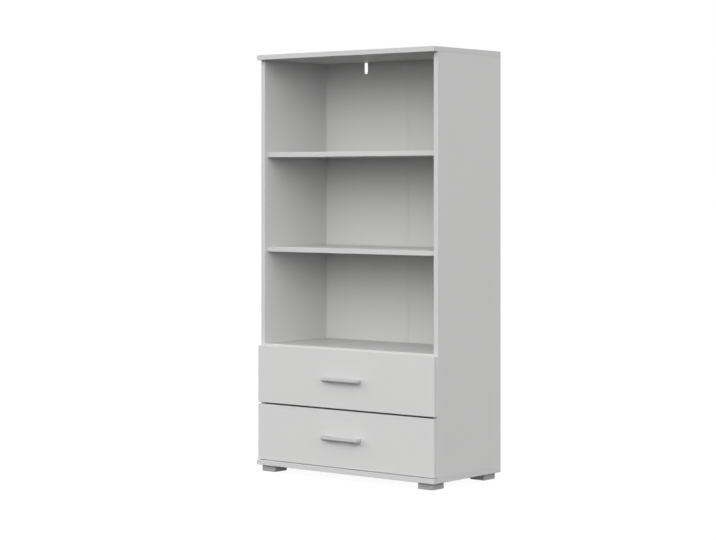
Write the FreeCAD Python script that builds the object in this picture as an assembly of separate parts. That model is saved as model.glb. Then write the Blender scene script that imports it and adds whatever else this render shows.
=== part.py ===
import FreeCAD, Part
import math
import os

# Bookcase with two bottom drawers, free-standing on four block feet.
# Millimetres. +X is the right-hand side seen from the front, +Y points to the back, +Z is up.
# The origin is on the floor, midway across the width and midway between the handles and the rear edge.

V = FreeCAD.Vector
RIGHT = V(1, 0, 0)
BACK = V(0, 1, 0)
UP = V(0, 0, 1)

# ---------------------------------------------------------------- driving dimensions

# carcass
width = 800.0
height = 1502.0
board = 18.0                # laminated board
side_depth = 367.0          # side panels, front edge to rear edge
board_overhang = 23.0       # top and bottom boards stand this far before the side panels
edge_ease = 0.8             # broken edges of the edge banding
lower_bay = 331.5           # clear height between the fixed shelf and the lower shelf
middle_bay = 323.0          # clear height between the two loose shelves
shelf_setback = 13.0        # loose shelves behind the side panels' front edges
shelf_end_play = 0.5        # at each end of a loose shelf
shelf_back_play = 1.2       # between every shelf and the back

# back: two hardboard sheets in grooves, joined by a strip, each with a notch for a wall fixing
back_inset = 21.0           # front face of the sheets, before the rear edge of the side panels
back_sheet = 3.0
groove_depth = 8.0
groove_play = 0.5           # groove wider than its sheet
sheet_edge_play = 1.0       # between a sheet's edge and the bottom of its groove
strip_width = 17.0
strip_lip = 0.8
strip_web = 1.4
strip_round = 0.4
strip_play = 0.3            # between the web and a sheet's edge, and at the strip's ends
notch_width = 17.0
notch_depth = 43.0          # below the top board

# feet
foot_height = 23.0
foot_width = 62.0
foot_depth = 65.0
foot_side_inset = 15.0      # from the end of the bottom board
foot_end_inset = 12.5       # from the front and rear edges of the bottom board
foot_wall = 3.0
foot_top = 4.0
foot_ease = 1.2
foot_boss_radius = 6.0
foot_rib_rise = 3.0         # rib and bosses stop this far above the floor
foot_screw_spacing = 30.0

# drawer fronts
front_thickness = 18.0
front_heights = {"lower": 200.0, "upper": 203.0}
front_side_inset = 2.0      # front's edge inside the carcass's outer face
front_reveal = 1.8          # lower front above the bottom board
front_split = 6.0           # between the two fronts
front_lap = 9.8             # upper front over the edge of the fixed shelf
front_gap = 0.4             # fronts before the side panels

# drawer boxes, as deep as the runners are long
box_height = 130.0
box_board = 16.0
box_drop = 28.0             # box's lower edge above the front's lower edge
box_sheet = 3.0
box_sheet_rise = 10.0       # sheet's underside above the box's lower edge
box_groove_depth = 8.0
box_groove_play = 0.3       # groove wider than the sheet

# bow handles
handle_length = 160.0
handle_reach = 30.0
handle_height = 15.0
handle_rise = 92.5          # above the front's lower edge
handle_bar = 10.0           # thickness of the bar
handle_foot = 24.0          # length of each foot on the front
handle_flank = 7.0          # slope of the inner flank
handle_corner = 1.2
handle_inner_corner = 9.0
handle_top_ease = 1.0       # along the upper edges
handle_undercut = 6.7       # height of the slope under the front and the ends
handle_undercut_depth = 7.6
handle_end_undercut_depth = 3.0
handle_hole_spacing = 128.0

# roller runners, each a channel on the carcass and a folded rail under the box
runner_gap = 12.5           # side panel to box
runner_length = 300.0
runner_setback = 2.0        # behind the side panels' front edges
runner_sheet = 1.2
runner_bend = 0.8           # inside bend radius
channel_flange = 10.0
channel_lip = 3.0
rail_flange = 10.0          # under the box side
rail_track = 9.5            # out towards the side panel
track_rise = 12.0           # running face above the box's lower edge
roller_radius = 10.0
roller_width = 6.5
roller_from_side = 2.6      # roller's outer face to the side panel
roller_play = 0.3           # rim to the face it rolls on
roller_headroom = 1.0
axle_radius = 2.0
axle_play = 0.2             # on the radius of a roller's bore
axle_head_radius = 3.5
axle_head = 0.8
axle_end_play = 0.2
front_axle_setback = 14.0   # behind the channel's front end
rear_axle_setback = 12.0    # before the rail's rear end
rear_axle_rise = 9.0        # above the box's lower edge
ear_drop = 8.0              # ear's lower edge below the axle
ear_length = 28.0
ear_corner = 6.0
roller_room = 3.0           # sheet cut away this far round a roller

# fittings
cam_radius = 7.5
cam_depth = 12.5
cam_setback = 34.0          # cam's centre from the joint
cam_play = 0.2
cam_mouth = 8.2             # slot that lets the bolt's head in
cam_slot = 1.8              # driver slot's width and depth
cam_slot_length = 9.0
cam_cap_radius = 8.5
cam_cap = 0.8
bolt_radius = 2.5
bolt_thread = 11.0
bolt_head_radius = 3.5
bolt_head = 3.0
bolt_bore = 4.0
dowel_radius = 4.0
dowel_length = 30.0
dowel_in_face = 11.0
dowel_play = 1.0            # at each end of a dowel
dowel_shift = 32.0          # dowel from its cam
bore_play = 0.1             # on the radius of every bore
bore_end = 1.0              # bores run this far past a screw's tip
fitting_front = 60.0        # first cam behind the side panels' front edges
fitting_rear = 66.0         # last cam before the back
pin_radius = 2.5
pin_depth = 9.0
pin_plate = 3.0
pin_reach = 9.0
pin_width = 10.0
pin_corner = 2.5
pin_front = 40.0            # pin behind a loose shelf's front edge
pin_rear = 45.0             # pin before a loose shelf's rear edge
screw_radius = 1.8
screw_head_radius = 3.4
screw_depth = 12.0
screw_head = 2.4
channel_screw_front = 37.0  # behind the channel's front end
channel_screw_rear = 39.0   # before its rear end
rail_screw_front = 40.0     # behind the rail's front end
rail_screw_rear = 58.0      # before its rear end
front_cam_edge = 27.0       # cams in the box sides from the sheet and from the upper edge
back_screw_edge = 25.0      # box-back screws from the sheet and from the upper edge
back_screw_length = 40.0
handle_screw_radius = 2.0
handle_screw_grip = 10.0    # thread inside the handle

small_sides = 6             # facets round screws, bolts and dowels
large_sides = 8             # facets round cams, caps and bosses
axle_sides = 8              # facets round axle heads and roller bores
roller_sides = 24           # facets round a roller's rim
bow_facets = 6              # facets round each corner of a handle's bow
bend_facets = 2             # facets of a fold in sheet metal
past = 1.0                  # cuts run this far past the face that they open

# ---------------------------------------------------------------- derived places

inner_half = width / 2 - board
rear_y = (side_depth + front_gap + front_thickness + handle_reach) / 2
side_y = rear_y - side_depth                    # front edges of the side panels
board_y = side_y - board_overhang               # front edges of the top and bottom boards
back_y = rear_y - back_inset                    # front face of the back
front_back_y = side_y - front_gap               # rear face of the drawer fronts
front_y = front_back_y - front_thickness        # front face of the drawer fronts

carcass_floor = foot_height + board
carcass_roof = height - board
front_half = width / 2 - front_side_inset
front_bottoms = {
    "lower": carcass_floor + front_reveal,
    "upper": carcass_floor + front_reveal + front_heights["lower"] + front_split,
}
front_top = front_bottoms["upper"] + front_heights["upper"]
fixed_shelf_z = front_top - front_lap
lower_shelf_z = fixed_shelf_z + board + lower_bay
upper_shelf_z = lower_shelf_z + board + middle_bay
loose_shelf_z = (lower_shelf_z, upper_shelf_z)

box_half = inner_half - runner_gap
channel_y = side_y + runner_setback
rail_y = front_back_y + runner_setback
front_axle_y = channel_y + front_axle_setback
box_end = front_back_y + runner_length         # rear end of the rails and boxes
rear_axle_y = box_end - rear_axle_setback
front_axle_rise = track_rise - roller_play - roller_radius
channel_low = rear_axle_rise - roller_radius - roller_play      # upper face of the lower flange
channel_high = rear_axle_rise + roller_radius + roller_headroom  # lower face of the upper flange

channel_screw_y = (channel_y + channel_screw_front, channel_y + runner_length - channel_screw_rear)
rail_screw_y = (rail_y + rail_screw_front, box_end - rail_screw_rear)

fitting_y = (side_y + fitting_front, back_y - fitting_rear)
dowel_y = (fitting_y[0] + dowel_shift, fitting_y[1] - dowel_shift)
notch_x = inner_half / 2


# ---------------------------------------------------------------- shape helpers

def block(x0, x1, y0, y1, z0, z1):
    """Box between two corners."""
    return Part.makeBox(x1 - x0, y1 - y0, z1 - z0, V(x0, y0, z0))


def ease(solid, chosen, size=edge_ease):
    """Chamfer the edges whose bounding box is chosen."""
    return solid.makeChamfer(size, [e for e in solid.Edges if chosen(e.BoundBox)])


def mirrored(shape):
    """The same piece for the other hand."""
    return shape.mirror(V(0, 0, 0), RIGHT)


def group(solids):
    """Separate solids kept as one node."""
    return Part.makeCompound(solids)


def joined(solids):
    """One solid from pieces that share faces."""
    return solids[0].multiFuse(solids[1:]).removeSplitter()


def outline(corners, at, facets=0):
    """Closed wire through corners (a, b, radius); at maps a, b to space.

    Each corner is rounded by its own radius, with a true arc or with a few flat facets.
    """
    points = []
    for i, (a, b, radius) in enumerate(corners):
        corner = V(a, b, 0)
        before = V(corners[i - 1][0], corners[i - 1][1], 0) - corner
        after = V(*corners[(i + 1) % len(corners)][:2], 0) - corner
        if radius <= 0:
            points.append((corner, None, corner))
            continue
        before.normalize()
        after.normalize()
        half = before.getAngle(after) / 2
        middle = before + after
        middle.normalize()
        centre = corner + middle * (radius / math.sin(half))
        reach = radius / math.tan(half)
        points.append((corner + before * reach, centre - middle * radius, corner + after * reach))
    edges = []
    for i, (start, middle, end) in enumerate(points):
        if middle is not None:
            arc = Part.Arc(at(start.x, start.y), at(middle.x, middle.y), at(end.x, end.y))
            if facets:
                stops = arc.toShape().discretize(facets + 1)
                edges += [Part.LineSegment(a, b).toShape() for a, b in zip(stops, stops[1:])]
            else:
                edges.append(arc.toShape())
        following = points[(i + 1) % len(points)][0]
        if (following - end).Length > 1e-6:
            edges.append(Part.LineSegment(at(end.x, end.y), at(following.x, following.y)).toShape())
    return Part.Wire(edges)


def plate(corners, at, thickness, facets=0):
    """Piece of one outline throughout, given its thickness or length as a vector."""
    return Part.Face(outline(corners, at, facets)).extrude(thickness)


def folded(points, thickness, bend):
    """Corners of a folded sheet's section: points run along the sheet's middle."""
    ways = [V(b[0] - a[0], b[1] - a[1], 0).normalize() for a, b in zip(points, points[1:])]
    sides = []
    for hand in (1, -1):
        side = []
        for i, point in enumerate(points):
            first = ways[max(i - 1, 0)]
            last = ways[min(i, len(ways) - 1)]
            out_first = V(-first.y, first.x, 0) * hand
            out_last = V(-last.y, last.x, 0) * hand
            step = (out_first + out_last) * (thickness / 2 / (1 + out_first.dot(out_last)))
            turn = (first.x * last.y - first.y * last.x) * hand
            radius = 0 if abs(turn) < 1e-9 else bend if turn > 0 else bend + thickness
            side.append((point[0] + step.x, point[1] + step.y, radius))
        sides.append(side)
    return sides[0] + sides[1][::-1]


def peg(start, way, radius, length, sides=small_sides):
    """Straight many-sided pin or bore from start along way."""
    turn = FreeCAD.Rotation(UP, way)
    ring = []
    for i in range(sides + 1):
        angle = 2 * math.pi * (i + 0.5) / sides
        ring.append(start + turn.multVec(V(radius * math.cos(angle), radius * math.sin(angle), 0)))
    return Part.Face(Part.makePolygon(ring)).extrude(way * length)


def centred_bar(middle, a, b, c):
    """Box about its middle, spanned by three vectors at right angles."""
    corner = middle - (a + b + c) / 2
    base = Part.Face(Part.makePolygon([corner, corner + a, corner + a + b, corner + b, corner]))
    return base.extrude(c)


# ---------------------------------------------------------------- fittings

def cam_joint(corner, into, face, thickness):
    """Cam, bolt and bores that pull two boards together.

    corner lies on the joint at the middle of the board that holds the cam, into points into
    that board, and face points out of the side that the cam is bored from.
    """
    centre = corner + into * cam_setback
    top = centre + face * (thickness / 2)
    seat = top - face * cam_depth
    housing = peg(seat, face, cam_radius, cam_depth + past, large_sides)
    passage = peg(corner, into, bolt_bore, cam_setback)
    body = peg(seat, face, cam_radius - cam_play, cam_depth, large_sides)
    mouth = centred_bar(centre - into * cam_radius / 2, into * (cam_radius + cam_mouth / 2),
                        face * cam_mouth, into.cross(face) * cam_mouth)
    slot = centred_bar(top, into.cross(face) * cam_slot_length, into * cam_slot, face * 2 * cam_slot)
    bolt = joined([
        peg(corner - into * bolt_thread, into, bolt_radius, bolt_thread + cam_setback - bolt_head),
        peg(corner + into * (cam_setback - bolt_head), into, bolt_head_radius, bolt_head),
    ])
    cam = body.cut([mouth, slot])
    tap = peg(corner, -into, bolt_radius + bore_play, bolt_thread + bore_end)
    return {"cam_bores": [housing, passage], "bolt_bores": [tap], "cam": cam, "bolt": bolt}


def dowel_joint(corner, into):
    """Wood dowel across a joint, with a bore on each side."""
    deep = dowel_length - dowel_in_face
    radius = dowel_radius + bore_play
    return {
        "end_bore": peg(corner, into, radius, deep + dowel_play),
        "face_bore": peg(corner, -into, radius, dowel_in_face + dowel_play),
        "dowel": peg(corner - into * dowel_in_face, into, dowel_radius, dowel_length),
    }


def countersunk_screw(start, way, sheet):
    """Screw whose flat head lies flush in a metal sheet."""
    return joined([
        peg(start, way, screw_head_radius, sheet),
        peg(start + way * sheet, way, screw_radius, screw_depth),
    ])


def screw_bore(start, way):
    """Pilot bore in a board."""
    return peg(start, way, screw_radius + bore_play, screw_depth + bore_end)


def pan_screw(seat, way, radius, length):
    """Screw with a raised head; seat lies under the head and way points along the shank."""
    return joined([
        peg(seat, -way, screw_head_radius, screw_head),
        peg(seat, way, radius, length),
    ])


# ---------------------------------------------------------------- carcass

def carcass_fittings():
    """Left-hand cams, bolts and dowels, with the bores that each board gets from them."""
    found = {"cam": [], "bolt": [], "dowel": [], "cap": []}
    bores = {"side": [], "top_panel": [], "bottom_panel": [], "fixed_shelf": []}
    side_middle = -width / 2 + board / 2
    places = (
        ("top_panel", V(side_middle, 0, carcass_roof), -UP, RIGHT),
        ("bottom_panel", V(side_middle, 0, carcass_floor), UP, RIGHT),
        ("fixed_shelf", V(-inner_half, 0, fixed_shelf_z + board / 2), RIGHT, -UP),
    )
    for name, place, into, face in places:
        holder, other = ("fixed_shelf", "side") if name == "fixed_shelf" else ("side", name)
        for y in fitting_y:
            joint = cam_joint(place + BACK * y, into, face, board)
            bores[holder] += joint["cam_bores"]
            bores[other] += joint["bolt_bores"]
            found["cam"].append(joint["cam"])
            found["bolt"].append(joint["bolt"])
            if name == "top_panel":
                seat = place + BACK * y + into * cam_setback + face * (board / 2)
                found["cap"].append(peg(seat, face, cam_cap_radius, cam_cap, large_sides))
        for y in dowel_y:
            joint = dowel_joint(place + BACK * y, into)
            bores[holder].append(joint["end_bore"])
            bores[other].append(joint["face_bore"])
            found["dowel"].append(joint["dowel"])
    return found, bores


def both_hands(solids):
    return solids + [mirrored(s) for s in solids]


def box_bottom(drawer):
    """Height of the lower edge of a drawer's box."""
    return front_bottoms[drawer] + box_drop


def pin_places():
    """Distances along Y of the pins that carry a loose shelf."""
    return (side_y + shelf_setback + pin_front, back_y - shelf_back_play - pin_rear)


def pin_start(z, y):
    return V(-inner_half, y, z - pin_radius - bore_play)


def side_panel(bores):
    """Left side panel with its back groove and its bores."""
    outer = -width / 2
    panel = block(outer, -inner_half, side_y, rear_y, carcass_floor, carcass_roof)
    panel = ease(panel, lambda b: b.YMax < side_y + 1e-6 and b.ZLength > board)
    groove = block(
        -inner_half - groove_depth, -inner_half + past,
        back_y, back_y + back_sheet + groove_play, carcass_floor - past, carcass_roof + past)
    pins = [peg(pin_start(z, y), -RIGHT, pin_radius + bore_play, pin_depth + bore_end)
            for z in loose_shelf_z for y in pin_places()]
    screws = [screw_bore(V(-inner_half, y, box_bottom(drawer) + rear_axle_rise), -RIGHT)
              for drawer in front_bottoms for y in channel_screw_y]
    return panel.cut([groove] + bores["side"] + pins + screws)


def end_board(z, face_z, bores):
    """Top or bottom board, full width and depth, grooved for the back on its inner face."""
    panel = block(-width / 2, width / 2, board_y, rear_y, z, z + board)
    panel = ease(panel, lambda b: b.YMax < rear_y - 1e-6 and b.ZLength < board / 2
                 or b.YLength > side_depth)
    stop = inner_half + groove_depth
    groove = block(
        -stop, stop, back_y, back_y + back_sheet + groove_play,
        face_z - groove_depth, face_z + groove_depth)
    return panel.cut([groove] + both_hands(bores))


def shelf(z, setback, end_play):
    """Shelf between the side panels, eased along its front."""
    half = inner_half - end_play
    front = side_y + setback
    panel = block(-half, half, front, back_y - shelf_back_play, z, z + board)
    return ease(panel, lambda b: b.YMax < front + 1e-6 and b.XLength > half)


def back_sheet_left():
    """Left back sheet, in the grooves on three sides, notched at the top for a wall fixing."""
    reach = groove_depth - sheet_edge_play
    x0 = -inner_half - reach
    x1 = -strip_web / 2 - strip_play
    bottom = carcass_floor - reach
    top = carcass_roof + reach
    notch_low = carcass_roof - notch_depth
    half = notch_width / 2
    corners = [
        (x0, bottom, 0), (x1, bottom, 0), (x1, top, 0), (-notch_x + half, top, 0),
        (-notch_x + half, notch_low, half - 0.01), (-notch_x - half, notch_low, half - 0.01),
        (-notch_x - half, top, 0), (x0, top, 0),
    ]
    return plate(corners, lambda a, b: V(a, back_y, b), BACK * back_sheet)


def joint_strip():
    """H-shaped strip that holds the inner edges of the two back sheets."""
    half = strip_width / 2
    web = strip_web / 2
    front = back_y - strip_lip
    rear = back_y + back_sheet
    corners = [
        (-half, front, strip_round), (half, front, strip_round), (half, back_y, 0),
        (web, back_y, 0), (web, rear, 0), (half, rear, 0), (half, rear + strip_lip, strip_round),
        (-half, rear + strip_lip, strip_round), (-half, rear, 0), (-web, rear, 0),
        (-web, back_y, 0), (-half, back_y, 0),
    ]
    low = carcass_floor + strip_play
    length = carcass_roof - carcass_floor - 2 * strip_play
    return plate(corners, lambda a, b: V(a, b, low), UP * length, bend_facets)


def foot(x, y):
    """Moulded block foot, open below, with a rib that joins two screw bosses."""
    half_x = foot_width / 2
    half_y = foot_depth / 2
    shell = block(x - half_x, x + half_x, y - half_y, y + half_y, 0, foot_height)
    shell = ease(shell, lambda b: b.ZMax < 1e-6 or b.ZLength > foot_height / 2, foot_ease)
    inner_x = half_x - foot_wall
    inner_y = half_y - foot_wall
    ceiling = foot_height - foot_top
    hollow = block(x - inner_x, x + inner_x, y - inner_y, y + inner_y, -past, ceiling)
    rib = foot_wall / 2
    webs = [block(x - inner_x, x + inner_x, y - rib, y + rib, foot_rib_rise, ceiling)]
    bores = []
    for screw_x in foot_screw_places(x):
        webs.append(peg(V(screw_x, y, foot_rib_rise), UP, foot_boss_radius,
                        ceiling - foot_rib_rise, large_sides))
        bores.append(peg(V(screw_x, y, -past), UP, screw_head_radius + bore_play, ceiling + past))
        bores.append(peg(V(screw_x, y, 0), UP, screw_radius + bore_play, foot_height + past))
    return joined([shell.cut(hollow)] + webs).cut(bores)


def foot_screw_places(x):
    return (x - foot_screw_spacing / 2, x + foot_screw_spacing / 2)


def foot_places():
    """Foot names and centres."""
    x = width / 2 - foot_side_inset - foot_width / 2
    front = board_y + foot_end_inset + foot_depth / 2
    rear = rear_y - foot_end_inset - foot_depth / 2
    return {
        "foot_front_left": (-x, front), "foot_front_right": (x, front),
        "foot_rear_left": (-x, rear), "foot_rear_right": (x, rear),
    }


def foot_screw(x, y):
    seat = V(x, y, foot_height - foot_top)
    return pan_screw(seat, UP, screw_radius, foot_top + screw_depth)


def shelf_pin(z, y):
    """Push-in pin: a round shank in the side panel and a flat spoon under the shelf."""
    start = pin_start(z, y)
    shank = peg(start - RIGHT * pin_depth, RIGHT, pin_radius, pin_depth)
    half = pin_width / 2
    tip = -inner_half + pin_reach
    corners = [
        (-inner_half, y - half, 0), (tip, y - half, pin_corner),
        (tip, y + half, pin_corner), (-inner_half, y + half, 0),
    ]
    spoon = plate(corners, lambda a, b: V(a, b, z - pin_plate), UP * pin_plate, bend_facets)
    return shank.fuse(spoon).removeSplitter()


# ---------------------------------------------------------------- runners (left-hand)

def channel(drawer):
    """Channel on the side panel, with an ear and an axle for its front roller."""
    base = box_bottom(drawer)
    middle = runner_sheet / 2
    wall = -inner_half
    low = base + channel_low - middle
    high = base + channel_high + middle
    lip_x = wall + channel_flange + middle / 2
    section = folded(
        [(lip_x, low + channel_lip), (lip_x, low), (wall + middle, low),
         (wall + middle, high), (wall + channel_flange, high)],
        runner_sheet, runner_bend)
    body = plate(section, lambda a, b: V(a, channel_y, b), BACK * runner_length, bend_facets)
    room = block(
        wall + runner_sheet, wall + runner_gap,
        channel_y - past, front_axle_y + roller_radius + roller_room,
        low - runner_sheet, low + channel_lip + runner_sheet)
    axle_z = base + front_axle_rise
    ear_low = axle_z - ear_drop
    ear_top = base + rear_axle_rise
    ear_end = channel_y + ear_length
    ear = plate(
        [(channel_y, ear_top, 0), (channel_y, ear_low, ear_corner),
         (ear_end, ear_low, ear_corner), (ear_end, ear_top, 0)],
        lambda a, b: V(wall, a, b), RIGHT * runner_sheet, bend_facets)
    axle = axle_pin(V(wall + runner_sheet, front_axle_y, axle_z), RIGHT,
                    roller_from_side - runner_sheet)
    heads = [peg(V(wall - past, y, base + rear_axle_rise), RIGHT,
                 screw_head_radius + bore_play, runner_sheet + 2 * past) for y in channel_screw_y]
    return joined([body.cut(room), ear, axle]).cut(heads)


def axle_pin(start, way, offset):
    """Riveted axle of a roller that stands offset from the sheet: shoulder, shank and head."""
    shoulder = offset - axle_end_play
    run = roller_width + 2 * axle_end_play
    return joined([
        peg(start, way, axle_head_radius, shoulder, axle_sides),
        Part.makeCylinder(axle_radius, run, start + way * shoulder, way),
        peg(start + way * (shoulder + run), way, axle_head_radius, axle_head, axle_sides),
    ])


def roller(y, z):
    """Nylon roller, with its axis along the width at y and z."""
    start = V(-inner_half + roller_from_side, y, z)
    rim = peg(start, RIGHT, roller_radius, roller_width, roller_sides)
    return rim.cut(peg(start, RIGHT, axle_radius + axle_play, roller_width, axle_sides))


def front_roller(drawer):
    return roller(front_axle_y, box_bottom(drawer) + front_axle_rise)


def rail(drawer):
    """Folded rail under and beside the box, with the axle of its rear roller."""
    base = box_bottom(drawer)
    middle = runner_sheet / 2
    wall = -box_half
    section = folded(
        [(wall + rail_flange, base - middle), (wall - middle, base - middle),
         (wall - middle, base + track_rise + middle),
         (wall - rail_track, base + track_rise + middle)],
        runner_sheet, runner_bend)
    body = plate(section, lambda a, b: V(a, rail_y, b), BACK * (box_end - rail_y), bend_facets)
    room = block(
        wall - runner_gap, wall - runner_sheet,
        rear_axle_y - roller_radius - roller_room, box_end + past,
        base + channel_low, base + channel_high)
    axle = axle_pin(V(wall - runner_sheet, rear_axle_y, base + rear_axle_rise), -RIGHT,
                    runner_gap - runner_sheet - roller_from_side - roller_width)
    heads = [peg(V(rail_screw_x(), y, base - runner_sheet - past), UP,
                 screw_head_radius + bore_play, runner_sheet + 2 * past) for y in rail_screw_y]
    return joined([body.cut(room), axle]).cut(heads)


def rear_roller(drawer):
    return roller(rear_axle_y, box_bottom(drawer) + rear_axle_rise)


def rail_screw_x():
    return -box_half + rail_flange / 2


def channel_screws(drawer):
    head = -inner_half + runner_sheet
    return [countersunk_screw(V(head, y, box_bottom(drawer) + rear_axle_rise), -RIGHT, runner_sheet)
            for y in channel_screw_y]


def rail_screw_set(drawer):
    head = box_bottom(drawer) - runner_sheet
    return [countersunk_screw(V(rail_screw_x(), y, head), UP, runner_sheet) for y in rail_screw_y]


# ---------------------------------------------------------------- drawers

def handle_screw_places(drawer):
    z = front_bottoms[drawer] + handle_rise + handle_height / 2
    return [V(x, front_back_y, z) for x in (-handle_hole_spacing / 2, handle_hole_spacing / 2)]


def drawer_front(drawer, bores):
    """Overlay front, eased all round, grooved behind for the box's sheet."""
    z = front_bottoms[drawer]
    panel = block(-front_half, front_half, front_y, front_back_y, z, z + front_heights[drawer])
    panel = ease(panel, lambda b: b.YMax < front_y + 1e-6)
    sheet_z = box_bottom(drawer) + box_sheet_rise
    inner = box_half - box_board + box_groove_depth
    groove = block(
        -inner, inner, front_back_y - box_groove_depth, front_back_y + past,
        sheet_z, sheet_z + box_sheet + box_groove_play)
    holes = [peg(p + BACK * past, -BACK, handle_screw_radius + bore_play,
                 front_thickness + 2 * past) for p in handle_screw_places(drawer)]
    return panel.cut([groove] + bores + holes)


def box_side(drawer, bores):
    """Left side of the box, grooved for its sheet."""
    base = box_bottom(drawer)
    panel = block(
        -box_half, -box_half + box_board, front_back_y, box_end,
        base, base + box_height)
    panel = ease(panel, lambda b: b.ZMin > base + box_height - 1e-6 and b.YLength > box_board)
    panel = ease(panel, lambda b: b.ZMax < base + 1e-6 and b.XMax < -box_half + 1e-6, runner_bend)
    sheet_z = base + box_sheet_rise
    groove = block(
        -box_half + box_board - box_groove_depth, -box_half + box_board + past,
        front_back_y - past, box_end + past,
        sheet_z, sheet_z + box_sheet + box_groove_play)
    pilots = [screw_bore(V(rail_screw_x(), y, base), UP) for y in rail_screw_y]
    return panel.cut([groove] + bores + pilots + back_screw_bores(drawer))


def back_screw_heads(drawer):
    """Points on the left box side where the box-back screws enter."""
    y = box_end - box_board / 2
    low = box_bottom(drawer) + box_sheet_rise + box_sheet + box_groove_play
    high = box_bottom(drawer) + box_height
    return [V(-box_half, y, z) for z in (low + back_screw_edge, high - back_screw_edge)]


def back_screw_bores(drawer):
    bores = []
    for point in back_screw_heads(drawer):
        bores.append(peg(point, RIGHT, screw_radius + bore_play, back_screw_length + bore_end))
        bores.append(peg(point - RIGHT * past, RIGHT, screw_head_radius + bore_play,
                         screw_head + past))
    return bores


def back_screws(drawer):
    return [joined([
        peg(point, RIGHT, screw_head_radius, screw_head),
        peg(point + RIGHT * screw_head, RIGHT, screw_radius, back_screw_length - screw_head),
    ]) for point in back_screw_heads(drawer)]


def box_back(drawer):
    """Back of the box: stands on the sheet between the two sides."""
    base = box_bottom(drawer)
    half = box_half - box_board
    panel = block(
        -half, half, box_end - box_board, box_end,
        base + box_sheet_rise + box_sheet + box_groove_play, base + box_height)
    panel = ease(panel, lambda b: b.ZMin > base + box_height - 1e-6 and b.XLength > box_board)
    return panel.cut(both_hands(back_screw_bores(drawer)))


def box_sheet_panel(drawer):
    """Hardboard bottom, slid in from behind into the grooves of the sides and the front."""
    half = box_half - box_board + box_groove_depth - sheet_edge_play
    z = box_bottom(drawer) + box_sheet_rise
    front = front_back_y - box_groove_depth + sheet_edge_play
    return block(-half, half, front, box_end, z, z + box_sheet)


def undercut_slope(edge, low, depth, at, length):
    """Wedge that slopes away the lower corner of a handle's outer face, edge being its place."""
    rise = past * handle_undercut / depth
    run = past * depth / handle_undercut
    corners = [
        (edge - past, low - past, 0), (edge + depth + run, low - past, 0),
        (edge - past, low + handle_undercut + rise, 0),
    ]
    return plate(corners, at, length)


def bow_handle(drawer):
    """Bow handle: a bar that turns back into a broad foot at each end, undercut all round its outside."""
    half = handle_length / 2
    inner = half - handle_foot
    tip = -handle_reach
    under = tip + handle_bar
    corners = [
        (-half, 0, 0), (-half, tip, handle_corner), (half, tip, handle_corner), (half, 0, 0),
        (inner, 0, 0), (inner - handle_flank, under, handle_inner_corner),
        (handle_flank - inner, under, handle_inner_corner), (-inner, 0, 0),
    ]
    low = front_bottoms[drawer] + handle_rise
    top = low + handle_height
    bow = plate(corners, lambda a, b: V(a, front_y + b, low), UP * handle_height, bow_facets)
    bow = ease(bow, lambda b: b.ZMin > top - 1e-6 and b.YMin < front_y - 1e-6, handle_top_ease)
    front = undercut_slope(front_y + tip, low, handle_undercut_depth,
                           lambda a, b: V(-half, a, b), RIGHT * handle_length)
    end = undercut_slope(-half, low, handle_end_undercut_depth,
                         lambda a, b: V(a, front_y + tip, b), BACK * handle_reach)
    screws = [peg(p - BACK * front_thickness, -BACK, handle_screw_radius + bore_play,
                  handle_screw_grip + bore_end) for p in handle_screw_places(drawer)]
    return bow.cut([front, end, mirrored(end)] + screws)


def handle_screws(drawer):
    length = front_thickness + handle_screw_grip
    return [pan_screw(p, -BACK, handle_screw_radius, length) for p in handle_screw_places(drawer)]


def front_joints(drawer):
    """Cams and bolts that hold the left box side to the front."""
    middle = -box_half + box_board / 2
    low = box_bottom(drawer) + box_sheet_rise + box_sheet + box_groove_play
    high = box_bottom(drawer) + box_height
    return [cam_joint(V(middle, front_back_y, z), BACK, RIGHT, box_board)
            for z in (low + front_cam_edge, high - front_cam_edge)]


def drawer_parts(drawer):
    """Every node of one drawer."""
    joints = front_joints(drawer)
    cam_bores = [b for j in joints for b in j["cam_bores"]]
    bolt_bores = [b for j in joints for b in j["bolt_bores"]]
    side = box_side(drawer, cam_bores)
    left_rail = rail(drawer)
    left_roller = rear_roller(drawer)
    parts = {
        "front": drawer_front(drawer, both_hands(bolt_bores)),
        "box_side_left": side,
        "box_side_right": mirrored(side),
        "box_back": box_back(drawer),
        "box_bottom": box_sheet_panel(drawer),
        "handle": bow_handle(drawer),
        "handle_screws": group(handle_screws(drawer)),
        "front_cams": group(both_hands([j["cam"] for j in joints])),
        "front_bolts": group(both_hands([j["bolt"] for j in joints])),
        "back_screws": group(both_hands(back_screws(drawer))),
        "rail_left": left_rail,
        "rail_right": mirrored(left_rail),
        "rail_screws": group(both_hands(rail_screw_set(drawer))),
        "rear_roller_left": left_roller,
        "rear_roller_right": mirrored(left_roller),
    }
    return {drawer + "_" + name: shape for name, shape in parts.items()}


# ---------------------------------------------------------------- assembly

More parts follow.
